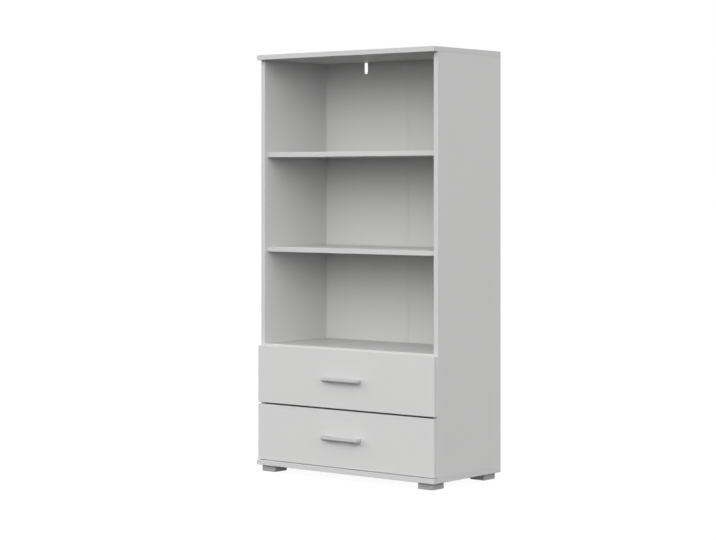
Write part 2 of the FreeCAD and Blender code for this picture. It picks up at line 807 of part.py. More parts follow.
def carcass_parts():
    """Every node that stands still."""
    fittings, bores = carcass_fittings()
    side = side_panel(bores)
    back = back_sheet_left()
    foot_bores = [screw_bore(V(x, y, foot_height), UP)
                  for fx, y in foot_places().values() for x in foot_screw_places(fx)]
    parts = {
        "top_panel": end_board(carcass_roof, carcass_roof, bores["top_panel"]),
        "bottom_panel": end_board(foot_height, carcass_floor, bores["bottom_panel"]).cut(foot_bores),
        "side_panel_left": side,
        "side_panel_right": mirrored(side),
        "fixed_shelf": shelf(fixed_shelf_z, 0, 0).cut(both_hands(bores["fixed_shelf"])),
        "lower_shelf": shelf(lower_shelf_z, shelf_setback, shelf_end_play),
        "upper_shelf": shelf(upper_shelf_z, shelf_setback, shelf_end_play),
        "back_panel_left": back,
        "back_panel_right": mirrored(back),
        "back_joint_strip": joint_strip(),
        "cam_locks": group(both_hands(fittings["cam"])),
        "cam_bolts": group(both_hands(fittings["bolt"])),
        "cam_caps": group(both_hands(fittings["cap"])),
        "wood_dowels": group(both_hands(fittings["dowel"])),
        "shelf_pins": group(both_hands(
            [shelf_pin(z, y) for z in loose_shelf_z for y in pin_places()])),
        "foot_screws": group(
            [foot_screw(x, y) for fx, y in foot_places().values() for x in foot_screw_places(fx)]),
        "channel_screws": group(both_hands(
            [s for drawer in front_bottoms for s in channel_screws(drawer)])),
    }
    for name, (x, y) in foot_places().items():
        parts[name] = foot(x, y)
    for drawer in front_bottoms:
        left_channel = channel(drawer)
        left_roller = front_roller(drawer)
        parts[drawer + "_channel_left"] = left_channel
        parts[drawer + "_channel_right"] = mirrored(left_channel)
        parts[drawer + "_front_roller_left"] = left_roller
        parts[drawer + "_front_roller_right"] = mirrored(left_roller)
    return parts


os.makedirs("parts", exist_ok=True)
nodes = carcass_parts()
for drawer_name in front_bottoms:
    nodes.update(drawer_parts(drawer_name))
for node_name, node_shape in nodes.items():
    node_shape.exportStep("parts/" + node_name + ".step")
print(len(nodes), "nodes")
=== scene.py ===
import math
from collections import namedtuple
from functools import reduce

import bmesh
import bpy
import numpy as np
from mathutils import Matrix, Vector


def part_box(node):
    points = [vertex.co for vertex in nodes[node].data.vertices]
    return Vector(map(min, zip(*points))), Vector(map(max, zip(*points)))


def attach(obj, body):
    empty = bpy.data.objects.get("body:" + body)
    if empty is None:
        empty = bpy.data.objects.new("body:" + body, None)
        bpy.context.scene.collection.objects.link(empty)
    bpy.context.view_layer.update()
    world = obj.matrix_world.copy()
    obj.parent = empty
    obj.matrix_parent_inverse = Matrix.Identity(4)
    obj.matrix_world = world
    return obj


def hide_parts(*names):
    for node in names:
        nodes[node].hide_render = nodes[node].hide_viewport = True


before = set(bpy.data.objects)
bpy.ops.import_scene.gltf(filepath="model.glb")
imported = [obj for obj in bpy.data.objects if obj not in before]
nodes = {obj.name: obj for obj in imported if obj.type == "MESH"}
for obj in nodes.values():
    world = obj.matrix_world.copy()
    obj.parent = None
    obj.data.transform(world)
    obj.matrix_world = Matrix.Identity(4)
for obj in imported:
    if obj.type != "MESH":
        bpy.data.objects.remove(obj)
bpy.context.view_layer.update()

# Looks of a bookcase with two bottom drawers, free-standing on four block feet.
# Metres. +X is the right-hand side seen from the front, +Y points to the back, +Z is up.

MM = 0.001
RIGHT, BACK, UP = np.eye(3)

drawers = ("lower", "upper")
hands = ("left", "right")
ends = ("front", "rear")

# ---------------------------------------------------------------- view and light

camera_place = (4.5892, -5.7412, 1.0358)
camera_turn = 39.105         # degrees to the left of straight back
camera_lens = 103.772        # focal length for a film 36 wide
camera_shift = -0.12001      # share of the film's width

Lamp = namedtuple("Lamp", "azimuth elevation strength")
# Soft lamps on the sky. The azimuth is in degrees from the front towards the right-hand side.
lamps = (
    Lamp(0, 30, 2.23), Lamp(30, 10, 3.55), Lamp(60, 20, 1.71), Lamp(90, 8, 0.31),
    Lamp(90, 28, 2.60), Lamp(-30, 15, 0.61), Lamp(-75, 25, 4.27), Lamp(-140, 10, 6.0),
)
lamp_focus = 10.0            # a lamp fades with the cosine of the angle off its middle, to this power
floor_half = 60.0            # half its width
floor_glow = 0.955           # its own light as the camera sees it
floor_grey = 0.052           # part of the visible floor that takes the shadow
floor_bounce = 0.02          # floor as the object sees it

# ---------------------------------------------------------------- finishes

board_white = (0.555, 0.555, 0.552)
box_white = (0.54, 0.54, 0.535)
sheet_white = (0.55, 0.55, 0.546)
hardboard_brown = (0.26, 0.155, 0.085)
chip_pale = (0.52, 0.37, 0.22)
chip_dark = (0.24, 0.15, 0.08)
strip_white = (0.53, 0.53, 0.526)
foot_grey = (0.305, 0.305, 0.305)
handle_silver = (0.465, 0.465, 0.47)
runner_white = (0.52, 0.52, 0.515)
nylon_pale = (0.54, 0.53, 0.50)
zinc_grey = (0.60, 0.61, 0.63)
bolt_grey = (0.52, 0.53, 0.55)
beech_brown = (0.50, 0.33, 0.19)

# A count is along one metre. A tone or roughness made from a pattern is written as (slope, base):
# slope times the pattern, plus base.

# A coated, pressed or moulded skin: soft patches shade its colour, grains spread its roughness
# and make a relief of some depth.
Skin = namedtuple("Skin", "colour patches shading grains roughness spread depth")
board_foil = Skin(board_white, patches=7.0, shading=0.02, grains=1500.0, roughness=0.42,
                  spread=0.08, depth=0.02 * MM)
box_foil = board_foil._replace(colour=box_white)
sheet_lacquer = Skin(sheet_white, patches=5.0, shading=0.03, grains=700.0, roughness=0.5,
                     spread=0.1, depth=0.03 * MM)
handle_lacquer = Skin(handle_silver, patches=60.0, shading=0.03, grains=900.0, roughness=0.42,
                      spread=0.1, depth=0.01 * MM)
white_moulding = Skin(strip_white, patches=40.0, shading=0.04, grains=2500.0, roughness=0.38,
                      spread=0.12, depth=0.006 * MM)
foot_moulding = white_moulding._replace(colour=foot_grey, grains=1800.0, roughness=0.55,
                                        depth=0.03 * MM)
runner_coat = white_moulding._replace(colour=runner_white, grains=700.0, roughness=0.42,
                                      depth=0.02 * MM)
roller_moulding = white_moulding._replace(colour=nylon_pale, grains=1500.0, roughness=0.36)

foil_shine = 0.2             # specular level of melamine foil and white lacquer
silver_shine = 0.1
flake_count = 6000.0         # metal flakes in the silver lacquer
flake_tone = (0.12, 0.94)

band_thick = 0.8 * MM        # edge banding
band_tint = 0.965            # its shade beside the foil
joint_thick = 0.12 * MM      # glue joint behind it
joint_tint = 0.55            # its shade beside the foil
joint_share = 0.35           # how much of it shows

chip_roughness = 0.9         # bare chipboard
chip_relief = 12.0           # its relief beside the foil's
fibre_roughness = 0.85       # bare hardboard
fibre_relief = 4.0           # its relief beside the lacquer's

zinc_roughness = 0.30
bolt_roughness = 0.26
plating_depth = 0.006 * MM

beech_rings = 900.0
beech_draw = (0.5, 1.0, 0.08)  # its grain stands upright, as most of the dowels do
beech_tint = 0.7             # dark rings beside pale ones
beech_roughness = (0.2, 0.6)
beech_depth = 0.05 * MM


# ---------------------------------------------------------------- node helpers

# Sockets whose names a node gives more than once, by their places.
mix_share, mix_first, mix_second, mix_result = 0, 6, 7, 2
vector_first, vector_second, vector_third, vector_scale = range(4)


def add(tree, kind, inputs=None, **settings):
    """Adds a shader node; an input is a value or another node's output."""
    made = tree.nodes.new("ShaderNode" + kind)
    for name, value in settings.items():
        setattr(made, name, value)
    for name, value in (inputs or {}).items():
        if isinstance(value, bpy.types.NodeSocket):
            tree.links.new(value, made.inputs[name])
        else:
            made.inputs[name].default_value = value
    return made


def calc(tree, operation, *values):
    """Result of a Math node."""
    return add(tree, "Math", dict(enumerate(values)), operation=operation).outputs[0]


def gathered(tree, operation, values):
    """One value from several, by a Math operation on two at a time."""
    return reduce(lambda one, other: calc(tree, operation, one, other), values)


def blended(tree, share, first, second):
    """Colour between first and second, by share."""
    inputs = {mix_share: share, mix_first: first, mix_second: second}
    return add(tree, "Mix", inputs, data_type="RGBA").outputs[mix_result]


def shaded(tree, colour, tone):
    """Colour times tone."""
    inputs = {vector_first: colour, vector_scale: tone}
    return add(tree, "VectorMath", inputs, operation="SCALE").outputs["Vector"]


def drawn(tree, vector, factors):
    """Coordinates times factors: a pattern on them is longest where its factor is smallest."""
    inputs = {vector_first: vector, vector_second: factors}
    return add(tree, "VectorMath", inputs, operation="MULTIPLY").outputs["Vector"]


def dot(tree, vector, way):
    """Dot product: the vector's length along way."""
    inputs = {vector_first: vector, vector_second: tuple(way)}
    return add(tree, "VectorMath", inputs, operation="DOT_PRODUCT").outputs["Value"]


def ramp(tree, value, low, high):
    """0 at low and 1 at high, smooth between."""
    inputs = {"Value": value, "From Min": low, "From Max": high}
    return add(tree, "MapRange", inputs, interpolation_type="SMOOTHSTEP").outputs["Result"]


def noise(tree, vector, count, detail=2.0, roughness=0.5):
    """Soft noise between 0 and 1, with so many bumps along a metre."""
    inputs = {"Vector": vector, "Scale": count, "Detail": detail, "Roughness": roughness}
    return add(tree, "TexNoise", inputs).outputs["Fac"]


def opaque(colour, tint=1.0):
    """Colour times tint, with full alpha."""
    return (*[tint * part for part in colour], 1.0)


def effect(name, inputs, outputs):
    """Empty shader node group with sockets of the given kinds, as (group, inputs, outputs)."""
    group = bpy.data.node_groups.new(name, "ShaderNodeTree")
    for way, sockets in (("INPUT", inputs), ("OUTPUT", outputs)):
        for label, kind in sockets.items():
            group.interface.new_socket(label, in_out=way, socket_type="NodeSocket" + kind)
    return group, group.nodes.new("NodeGroupInput").outputs, group.nodes.new("NodeGroupOutput").inputs


def placed(tree, group, inputs):
    """Outputs of an effect placed in a material with its own values."""
    return add(tree, "Group", inputs, node_tree=group).outputs


# ---------------------------------------------------------------- shared effects

coarse_count = 0.4           # coarse grains beside the fine ones
coarse_height = 0.5          # and their part of the relief

band_planes = ("Low X", "High X", "Low Y", "Low Z", "High Z")

chip_count = 420.0
chip_press = (1.0, 1.0, 1.8)  # chips lie flat
speck_count = 900.0
chip_tones = (0.05, 0.6)     # where dark chips begin to pale, and where they are pale

fibre_bends = 160.0
fibre_bend = (0.02, 0.02, 0.02)  # how far the noise moves a fibre at most
fibre_count = 700.0
fibre_tone = (1.0, 0.35)
blotch_count = 9.0
blotch_slope = 0.25          # tone that the blotches add

plate_clouds = 350.0
plate_tone = (0.3, 0.85)
plate_haze = 0.1             # roughness that the clouds add
scratch_count = 4000.0
scratch_draw = (1.0, 1.0, 0.06)  # scratches stand upright
scratch_haze = 0.16          # roughness that the scratches add


def make_cloud():
    """Soft patches: colour times 1 + amount (noise - 1/2)."""
    group, given, result = effect(
        "soft patches",
        {"Vector": "Vector", "Colour": "Color", "Patches": "Float", "Amount": "Float"},
        {"Colour": "Color"})
    patches = noise(group, given["Vector"], given["Patches"], detail=3.0)
    tone = calc(group, "MULTIPLY_ADD", calc(group, "SUBTRACT", patches, 0.5), given["Amount"], 1.0)
    group.links.new(shaded(group, given["Colour"], tone), result["Colour"])
    return group


def make_grain():
    """Pressed or moulded grain: roughness is its base plus spread (coarse noise - 1/2), height is
    fine noise plus a part of the coarse."""
    group, given, result = effect(
        "pressed grain",
        {"Vector": "Vector", "Grains": "Float", "Roughness": "Float", "Spread": "Float"},
        {"Roughness": "Float", "Height": "Float"})
    coarse = noise(group, given["Vector"], calc(group, "MULTIPLY", given["Grains"], coarse_count))
    fine = noise(group, given["Vector"], given["Grains"], roughness=0.6)
    rough = calc(group, "MULTIPLY_ADD", calc(group, "SUBTRACT", coarse, 0.5), given["Spread"],
                 given["Roughness"])
    group.links.new(rough, result["Roughness"])
    group.links.new(calc(group, "MULTIPLY_ADD", coarse, coarse_height, fine), result["Height"])
    return group


def make_band():
    """Edge banding: band is 1 within its thickness of the nearest banded face, joint is 1 on the
    glue line behind it. A board's faces that carry no band are given far away."""
    group, given, result = effect(
        "edge banding", {"Vector": "Vector", **dict.fromkeys(band_planes, "Float")},
        {"Band": "Float", "Joint": "Float"})
    point = add(group, "SeparateXYZ", {"Vector": given["Vector"]}).outputs
    gaps = []
    for plane in band_planes:
        side, axis = plane.split()
        pair = (point[axis], given[plane]) if side == "Low" else (given[plane], point[axis])
        gaps.append(calc(group, "SUBTRACT", *pair))
    nearest = gathered(group, "MINIMUM", gaps)
    soft = joint_thick / 2
    group.links.new(ramp(group, nearest, band_thick + soft, band_thick - soft), result["Band"])
    off = calc(group, "ABSOLUTE", calc(group, "SUBTRACT", nearest, band_thick + soft))
    group.links.new(ramp(group, off, 2 * soft, soft / 2), result["Joint"])
    return group


def make_chips():
    """Raw chipboard: flat chips of 1 to 4 mm, pale to dark, with pits between them."""
    group, given, result = effect(
        "raw chipboard", {"Vector": "Vector"}, {"Colour": "Color", "Height": "Float"})
    flat = drawn(group, given["Vector"], chip_press)
    chips = add(group, "TexVoronoi", {"Vector": flat, "Scale": chip_count})
    shade = add(group, "SeparateColor", {"Color": chips.outputs["Color"]}).outputs["Red"]
    specks = noise(group, given["Vector"], speck_count, detail=3.0)
    mixed = calc(group, "MULTIPLY", shade, specks)
    tone = ramp(group, mixed, *chip_tones)
    group.links.new(blended(group, tone, opaque(chip_dark), opaque(chip_pale)), result["Colour"])
    group.links.new(calc(group, "ADD", mixed, chips.outputs["Distance"]), result["Height"])
    return group


def make_fibres():
    """Bare hardboard: short pressed fibres in all directions over soft blotches."""
    group, given, result = effect(
        "bare hardboard", {"Vector": "Vector", "Colour": "Color"},
        {"Colour": "Color", "Height": "Float"})
    bend = add(group, "TexNoise", {"Vector": given["Vector"], "Scale": fibre_bends}).outputs["Color"]
    moved = {vector_first: bend, vector_second: fibre_bend, vector_third: given["Vector"]}
    swept = add(group, "VectorMath", moved, operation="MULTIPLY_ADD").outputs["Vector"]
    fibres = noise(group, swept, fibre_count, detail=5.0, roughness=0.7)
    blotches = noise(group, given["Vector"], blotch_count, detail=3.0)
    tone = calc(group, "MULTIPLY_ADD", fibres, *fibre_tone)
    tone = calc(group, "MULTIPLY_ADD", blotches, blotch_slope, tone)
    group.links.new(shaded(group, given["Colour"], tone), result["Colour"])
    group.links.new(fibres, result["Height"])
    return group


def make_plating():
    """Plated metal: soft clouds and fine scratches, which both add to its roughness."""
    group, given, result = effect(
        "plating",
        {"Vector": "Vector", "Colour": "Color", "Roughness": "Float"},
        {"Colour": "Color", "Roughness": "Float", "Height": "Float"})
    clouds = noise(group, given["Vector"], plate_clouds, detail=3.0)
    scratches = noise(group, drawn(group, given["Vector"], scratch_draw), scratch_count, roughness=0.6)
    tone = calc(group, "MULTIPLY_ADD", clouds, *plate_tone)
    group.links.new(shaded(group, given["Colour"], tone), result["Colour"])
    rough = calc(group, "MULTIPLY_ADD", scratches, scratch_haze, given["Roughness"])
    group.links.new(calc(group, "MULTIPLY_ADD", clouds, plate_haze, rough), result["Roughness"])
    group.links.new(scratches, result["Height"])
    return group


cloud = make_cloud()
grain = make_grain()
banding = make_band()
chipboard = make_chips()
fibre = make_fibres()
plating = make_plating()


# ---------------------------------------------------------------- materials

def start_material(name):
    """New material, as (material, its tree, its shader, object coordinates, object-space normal)."""
    material = bpy.data.materials.new(name)
    material.use_nodes = True
    tree = material.node_tree
    coordinates = add(tree, "TexCoord").outputs
    return material, tree, tree.nodes["Principled BSDF"], coordinates["Object"], coordinates["Normal"]


def skin_of(tree, point, skin):
    """Colour, roughness and relief height of a skin."""
    tint = placed(tree, cloud, {"Vector": point, "Colour": opaque(skin.colour),
                                "Patches": skin.patches, "Amount": skin.shading})
    grains = placed(tree, grain, {"Vector": point, "Grains": skin.grains,
                                  "Roughness": skin.roughness, "Spread": skin.spread})
    return tint["Colour"], grains["Roughness"], grains["Height"]


def dress(tree, shader, colour, roughness, height, depth):
    """Links a surface to its shader. The height, from 0 to about 1, is depth metres deep."""
    tree.links.new(colour, shader.inputs["Base Color"])
    tree.links.new(roughness, shader.inputs["Roughness"])
    relief = add(tree, "Bump", {"Height": height, "Distance": depth, "Strength": 1.0})
    tree.links.new(relief.outputs["Normal"], shader.inputs["Normal"])


def facing(tree, normal, way):
    """1 on the faces that look along way."""
    return calc(tree, "GREATER_THAN", dot(tree, normal, way), 0.5)


def board_material(name, skin, bands=None, raw=()):
    """Foil-faced chipboard. bands gives the banded faces' places, raw the ways of its bare edges."""
    material, tree, shader, point, normal = start_material(name)
    colour, roughness, height = skin_of(tree, point, skin)
    if bands:
        edge = placed(tree, banding, {"Vector": point, **bands})
        colour = blended(tree, edge["Band"], colour, opaque(skin.colour, band_tint))
        glue = calc(tree, "MULTIPLY", edge["Joint"], joint_share)
        colour = blended(tree, glue, colour, opaque(skin.colour, joint_tint))
    if raw:
        bare = gathered(tree, "MAXIMUM", [facing(tree, normal, way) for way in raw])
        chips = placed(tree, chipboard, {"Vector": point})
        colour = blended(tree, bare, colour, chips["Colour"])
        roughness = calc(tree, "MAXIMUM", roughness, calc(tree, "MULTIPLY", bare, chip_roughness))
        deep = calc(tree, "MULTIPLY", chips["Height"], calc(tree, "MULTIPLY", bare, chip_relief))
        height = calc(tree, "ADD", height, deep)
    shader.inputs["Specular IOR Level"].default_value = foil_shine
    dress(tree, shader, colour, roughness, height, skin.depth)
    return material


def sheet_material(name, white_way):
    """Hardboard, lacquered white on the face that looks along white_way."""
    material, tree, shader, point, normal = start_material(name)
    white, smooth, height = skin_of(tree, point, sheet_lacquer)
    fibres = placed(tree, fibre, {"Vector": point, "Colour": opaque(hardboard_brown)})
    lacquered = facing(tree, normal, white_way)
    bare = calc(tree, "SUBTRACT", 1.0, lacquered)
    colour = blended(tree, lacquered, fibres["Colour"], white)
    roughness = calc(tree, "MAXIMUM", smooth, calc(tree, "MULTIPLY", bare, fibre_roughness))
    deep = calc(tree, "MULTIPLY", fibres["Height"], calc(tree, "MULTIPLY", bare, fibre_relief))
    shader.inputs["Specular IOR Level"].default_value = foil_shine
    dress(tree, shader, colour, roughness, calc(tree, "ADD", height, deep), sheet_lacquer.depth)
    return material


def moulded_material(name, skin):
    """Moulded plastic or powder coat: even colour, fine pressed grain."""
    material, tree, shader, point, _ = start_material(name)
    dress(tree, shader, *skin_of(tree, point, skin), skin.depth)
    return material


def metal_material(name, colour, roughness):
    """Bare plated steel or zinc."""
    material, tree, shader, point, _ = start_material(name)
    skin = placed(tree, plating, {"Vector": point, "Colour": opaque(colour), "Roughness": roughness})
    shader.inputs["Metallic"].default_value = 1.0
    dress(tree, shader, skin["Colour"], skin["Roughness"], skin["Height"], plating_depth)
    return material


def silver_material():
    """Silver lacquer on cast metal: fine flakes in a satin coat."""
    material, tree, shader, point, _ = start_material("silver lacquer")
    flakes = add(tree, "TexVoronoi", {"Vector": point, "Scale": flake_count}).outputs["Color"]
    flake = add(tree, "SeparateColor", {"Color": flakes}).outputs["Red"]
    colour, roughness, height = skin_of(tree, point, handle_lacquer)
    colour = shaded(tree, colour, calc(tree, "MULTIPLY_ADD", flake, *flake_tone))
    shader.inputs["Specular IOR Level"].default_value = silver_shine
    dress(tree, shader, colour, roughness, height, handle_lacquer.depth)
    return material


def dowel_material():
    """Beech in pale and dark rings."""
    material, tree, shader, point, _ = start_material("beech")
    rings = noise(tree, drawn(tree, point, beech_draw), beech_rings, detail=4.0, roughness=0.6)
    colour = blended(tree, rings, opaque(beech_brown, beech_tint), opaque(beech_brown))
    dress(tree, shader, colour, calc(tree, "MULTIPLY_ADD", rings, *beech_roughness), rings,
          beech_depth)
    return material


strip_plastic = moulded_material("white plastic", white_moulding)
foot_plastic = moulded_material("grey plastic", foot_moulding)
powder_coat = moulded_material("powder coat", runner_coat)
nylon = moulded_material("nylon", roller_moulding)
zinc = metal_material("zinc", zinc_grey, zinc_roughness)
bolt_steel = metal_material("bolt steel", bolt_grey, bolt_roughness)
silver = silver_material()


# ---------------------------------------------------------------- finishes of the modelled nodes

far_off = 10.0               # place of the faces that carry no band


def finish(material, *names):
    """Gives modelled nodes their material."""
    for name in names:
        nodes[name].material_slots[0].material = material


def bands_of(name, banded):
    """Places of a board's banded faces, such as "Low Y", from its box, and the others far off."""
    low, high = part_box(name)
    places = {}
    for plane in band_planes:
        side, axis = plane.split()
        corner, away = (low, -far_off) if side == "Low" else (high, far_off)
        places[plane] = getattr(corner, axis.lower()) if plane in banded else away
    return places


def finish_board(name, banded, raw=()):
    """Finish of a board with edge banding, which has a material of its own."""
    finish(board_material(name.replace("_", " "), board_foil, bands_of(name, banded), raw), name)


def finish_boards():
    """Foil on the boards, banding on the edges that show and raw chipboard on those that don't."""
    for name in ("top_panel", "bottom_panel"):
        finish_board(name, ("Low X", "High X", "Low Y"), [BACK])
    for name in ("side_panel_left", "side_panel_right", "fixed_shelf", "lower_shelf", "upper_shelf"):
        finish_board(name, ("Low Y",), [BACK])
    for drawer in drawers:
        finish_board(drawer + "_front", ("Low X", "High X", "Low Z", "High Z"))
    box_side = board_material("drawer box board", box_foil, raw=[BACK, -UP])
    box_back = board_material("drawer back board", box_foil, raw=[-UP])
    for drawer in drawers:
        finish(box_side, *[f"{drawer}_box_side_{hand}" for hand in hands])
        finish(box_back, drawer + "_box_back")


def finish_sheets():
    """Back sheets white to the front, drawer bottoms white on top."""
    finish(sheet_material("back hardboard", -BACK), "back_panel_left", "back_panel_right")
    bottom = sheet_material("drawer bottom hardboard", UP)
    finish(bottom, *[drawer + "_box_bottom" for drawer in drawers])


def finish_fittings():
    """Pins, feet, bolts, dowels and runners."""
    finish(strip_plastic, "shelf_pins")
    finish(foot_plastic, *[f"foot_{end}_{hand}" for end in ends for hand in hands])
    finish(bolt_steel, "cam_bolts", *[drawer + "_front_bolts" for drawer in drawers])
    finish(dowel_material(), "wood_dowels")
    for drawer in drawers:
        for part in ("channel", "rail"):
            finish(powder_coat, *[f"{drawer}_{part}_{hand}" for hand in hands])


# ---------------------------------------------------------------- surfaces

turn_sides = 48              # points round every turned piece
turn_angles = np.linspace(0, 2 * np.pi, turn_sides, endpoint=False)
merge_within = 1e-7          # points this near become one
sliver_within = 1e-8         # edges this short go
sharp_from = math.radians(35)  # edges that turn further stay sharp
same_place = 1e-6            # points this near lie at one place along an axis
place_decimals = 6           # places that are equal to so many decimals are one


def grid(points, round_rows=False, round_columns=False):
    """Quads between the neighbours of a (rows, columns, 3) grid, as (points, quads)."""
    rows, columns = points.shape[:2]
    index = np.arange(rows * columns).reshape(rows, columns)
    if round_rows:
        index = np.vstack([index, index[:1]])
    if round_columns:
        index = np.hstack([index, index[:, :1]])
    quads = np.stack([index[:-1, :-1], index[1:, :-1], index[1:, 1:], index[:-1, 1:]], axis=-1)
    return points.reshape(-1, 3), quads.reshape(-1, 4)


def lidded(points):
    """A (rows, columns, 3) grid of closed rows, with its first and last row as flat lids."""
    rows, columns = points.shape[:2]
    flat, quads = grid(points, False, True)
    lids = [list(range(columns)), list(range((rows - 1) * columns, rows * columns))]
    return flat, quads.tolist() + lids


def turned(radii, heights, centre, axis, ring=False):
    """Surface of revolution: centre + radius (cosine across + sine along) + height axis.

    Row i is the circle of radii[i]. heights may also change round the circle, as a
    (rows, sides) array. A ring's last row joins its first; any other profile starts and ends on
    the axis.
    """
    angle = turn_angles[:, None]
    across = BACK if abs(axis[1]) < 0.5 else RIGHT
    along = np.cross(axis, across)
    radii = np.asarray(radii, float)[:, None, None]
    heights = np.asarray(heights, float)
    heights = np.broadcast_to(heights if heights.ndim == 2 else heights[:, None],
                              (len(radii), turn_sides))[..., None]
    circle = np.cos(angle) * across + np.sin(angle) * along
    return grid(np.asarray(centre) + radii * circle + heights * axis, ring, True)


def rounded(corners, steps):
    """Open line through corners (a, b, radius), each corner an arc that touches both its sides.

    The arc's centre lies on the corner's bisector, radius / sine of the half angle from the
    corner, and the arc turns evenly from one touching point to the other.
    """
    corners = np.asarray(corners, float)
    points = [corners[:1, :2]]
    for before, (a, b, radius), after in zip(corners, corners[1:], corners[2:]):
        corner = np.array([a, b])
        first = before[:2] - corner
        last = after[:2] - corner
        first /= np.linalg.norm(first)
        last /= np.linalg.norm(last)
        half = np.arccos(np.clip(first @ last, -1, 1)) / 2
        middle = (first + last) / np.linalg.norm(first + last)
        centre = corner + middle * radius / np.sin(half)
        start = corner + first * radius / np.tan(half) - centre
        end = corner + last * radius / np.tan(half) - centre
        share = np.linspace(0, 1, steps)[:, None]
        sweep = np.pi - 2 * half
        arc = (np.sin((1 - share) * sweep) * start + np.sin(share * sweep) * end) / np.sin(sweep)
        points.append(centre + arc)
    points.append(corners[-1:, :2])
    return np.vstack(points)


def piece(name, shapes, body, material, replaced):
    """One finished piece from closed surfaces, riding on a body and standing for a CAD node."""
    starts = np.cumsum([0] + [len(points) for points, _ in shapes])
    mesh = bpy.data.meshes.new(name)
    mesh.from_pydata(np.vstack([points for points, _ in shapes]).tolist(), [],
                     [[start + corner for corner in face]
                      for start, (_, faces) in zip(starts, shapes) for face in faces])
    work = bmesh.new()
    work.from_mesh(mesh)
    bmesh.ops.remove_doubles(work, verts=work.verts, dist=merge_within)
    bmesh.ops.dissolve_degenerate(work, edges=work.edges, dist=sliver_within)
    bmesh.ops.recalc_face_normals(work, faces=work.faces)
    work.to_mesh(mesh)
    work.free()
    mesh.shade_smooth()
    mesh.set_sharp_from_angle(angle=sharp_from)
    made = bpy.data.objects.new(name, mesh)
    bpy.context.scene.collection.objects.link(made)
    mesh.materials.append(material)
    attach(made, body)
    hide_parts(replaced)


def solids_of(name):
    """Points of each separate solid in a CAD node, from its loose triangles.

    Points at one place are merged, and each takes the lowest label of its edges' ends until no
    label changes: what shares a label is one solid.
    """
    mesh = nodes[name].data
    points = np.zeros(len(mesh.vertices) * 3)
    mesh.vertices.foreach_get("co", points)
    points = points.reshape(-1, 3)
    _, merged = np.unique(np.round(points, place_decimals), axis=0, return_inverse=True)
    merged = merged.ravel()
    edges = np.zeros(len(mesh.edges) * 2, int)
    mesh.edges.foreach_get("vertices", edges)
    edges = merged[edges.reshape(-1, 2)]
    label = np.arange(merged.max() + 1)
    while True:
        lowest = label.copy()
        np.minimum.at(lowest, edges[:, 0], label[edges[:, 1]])
        np.minimum.at(lowest, edges[:, 1], label[edges[:, 0]])
        if (lowest == label).all():
            break
        label = lowest
    owner = label[merged]
    return [points[owner == one] for one in np.unique(owner)]


# ---------------------------------------------------------------- handles

bow_bar = 10.0 * MM          # thickness of the bar
bow_foot = 24.0 * MM         # length of each foot on the front
bow_flank = 7.0 * MM         # how far each foot's inner side leans
bow_corner = 1.6 * MM        # of the outside, in plan
bow_inner_corner = 9.0 * MM
bow_steps = 12               # points in each rounded corner
undercut_high = 6.7 * MM     # the slope under the front and the ends
undercut_deep = 8.2 * MM
undercut_end = 4.2 * MM      # its depth at the ends
undercut_corner = 0.4 * MM
bow_ease = 1.0 * MM          # rounding of the section's outer top edge
bow_crease = 0.5 * MM        # and of its other edges


def bow_handle(drawer):
    """Bow bar, undercut all round its outside: one rounded section led along four plan lines.

    The section is drawn for the bar. Each of its points lies between two plan lines, and its share
    of the way from one to the other stays the same from foot to foot. Its place is the sum of
    weight times line, and its height is the handle's low side plus its height in the section.
    """
    node = drawer + "_handle"
    low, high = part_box(node)
    half = high.x
    inner = half - bow_foot
    under = low.y + bow_bar

    def outside(inset, end_inset, radius):
        """Plan line of the outside, moved in by inset along the bar and end_inset at the ends."""
        wide, near = half - end_inset, low.y + inset
        return rounded([(-wide, high.y, 0), (-wide, near, radius), (wide, near, radius),
                        (wide, high.y, 0)], bow_steps)

    def inside(inset):
        """Plan line of the inside, moved out by inset."""
        foot, near = inner + inset, under - inset
        return rounded([(-foot, high.y, 0), (bow_flank - foot, near, bow_inner_corner),
                        (foot - bow_flank, near, bow_inner_corner), (foot, high.y, 0)], bow_steps)

    lines = np.stack([outside(0.0, 0.0, bow_corner),
                      outside(undercut_deep, undercut_end, undercut_corner),
                      inside(bow_ease), inside(0.0)])
    places = (0.0, undercut_deep, bow_bar - bow_ease, bow_bar)
    tall = high.z - low.z
    middle = (undercut_deep / 2, tall, 0)
    section = rounded([middle, (0, tall, bow_ease), (0, undercut_high, bow_crease),
                       (undercut_deep, 0, bow_crease), (bow_bar, 0, bow_crease),
                       (bow_bar, tall, bow_crease), middle], bow_steps)[:-1]
    weights = np.stack([np.interp(section[:, 0], places, share) for share in np.eye(len(places))], 1)
    plan = np.einsum("sk,krc->rsc", weights, lines)
    height = np.broadcast_to(low.z + section[:, 1], plan.shape[:2])
    piece(drawer + "_bow_handle", [lidded(np.dstack([plan, height]))], drawer + "_drawer", silver,
          node)


# ---------------------------------------------------------------- joint strip of the back

strip_web = 1.4 * MM         # between the two sheets
strip_crown = 0.35 * MM
strip_corner = 0.3 * MM
strip_steps = 24


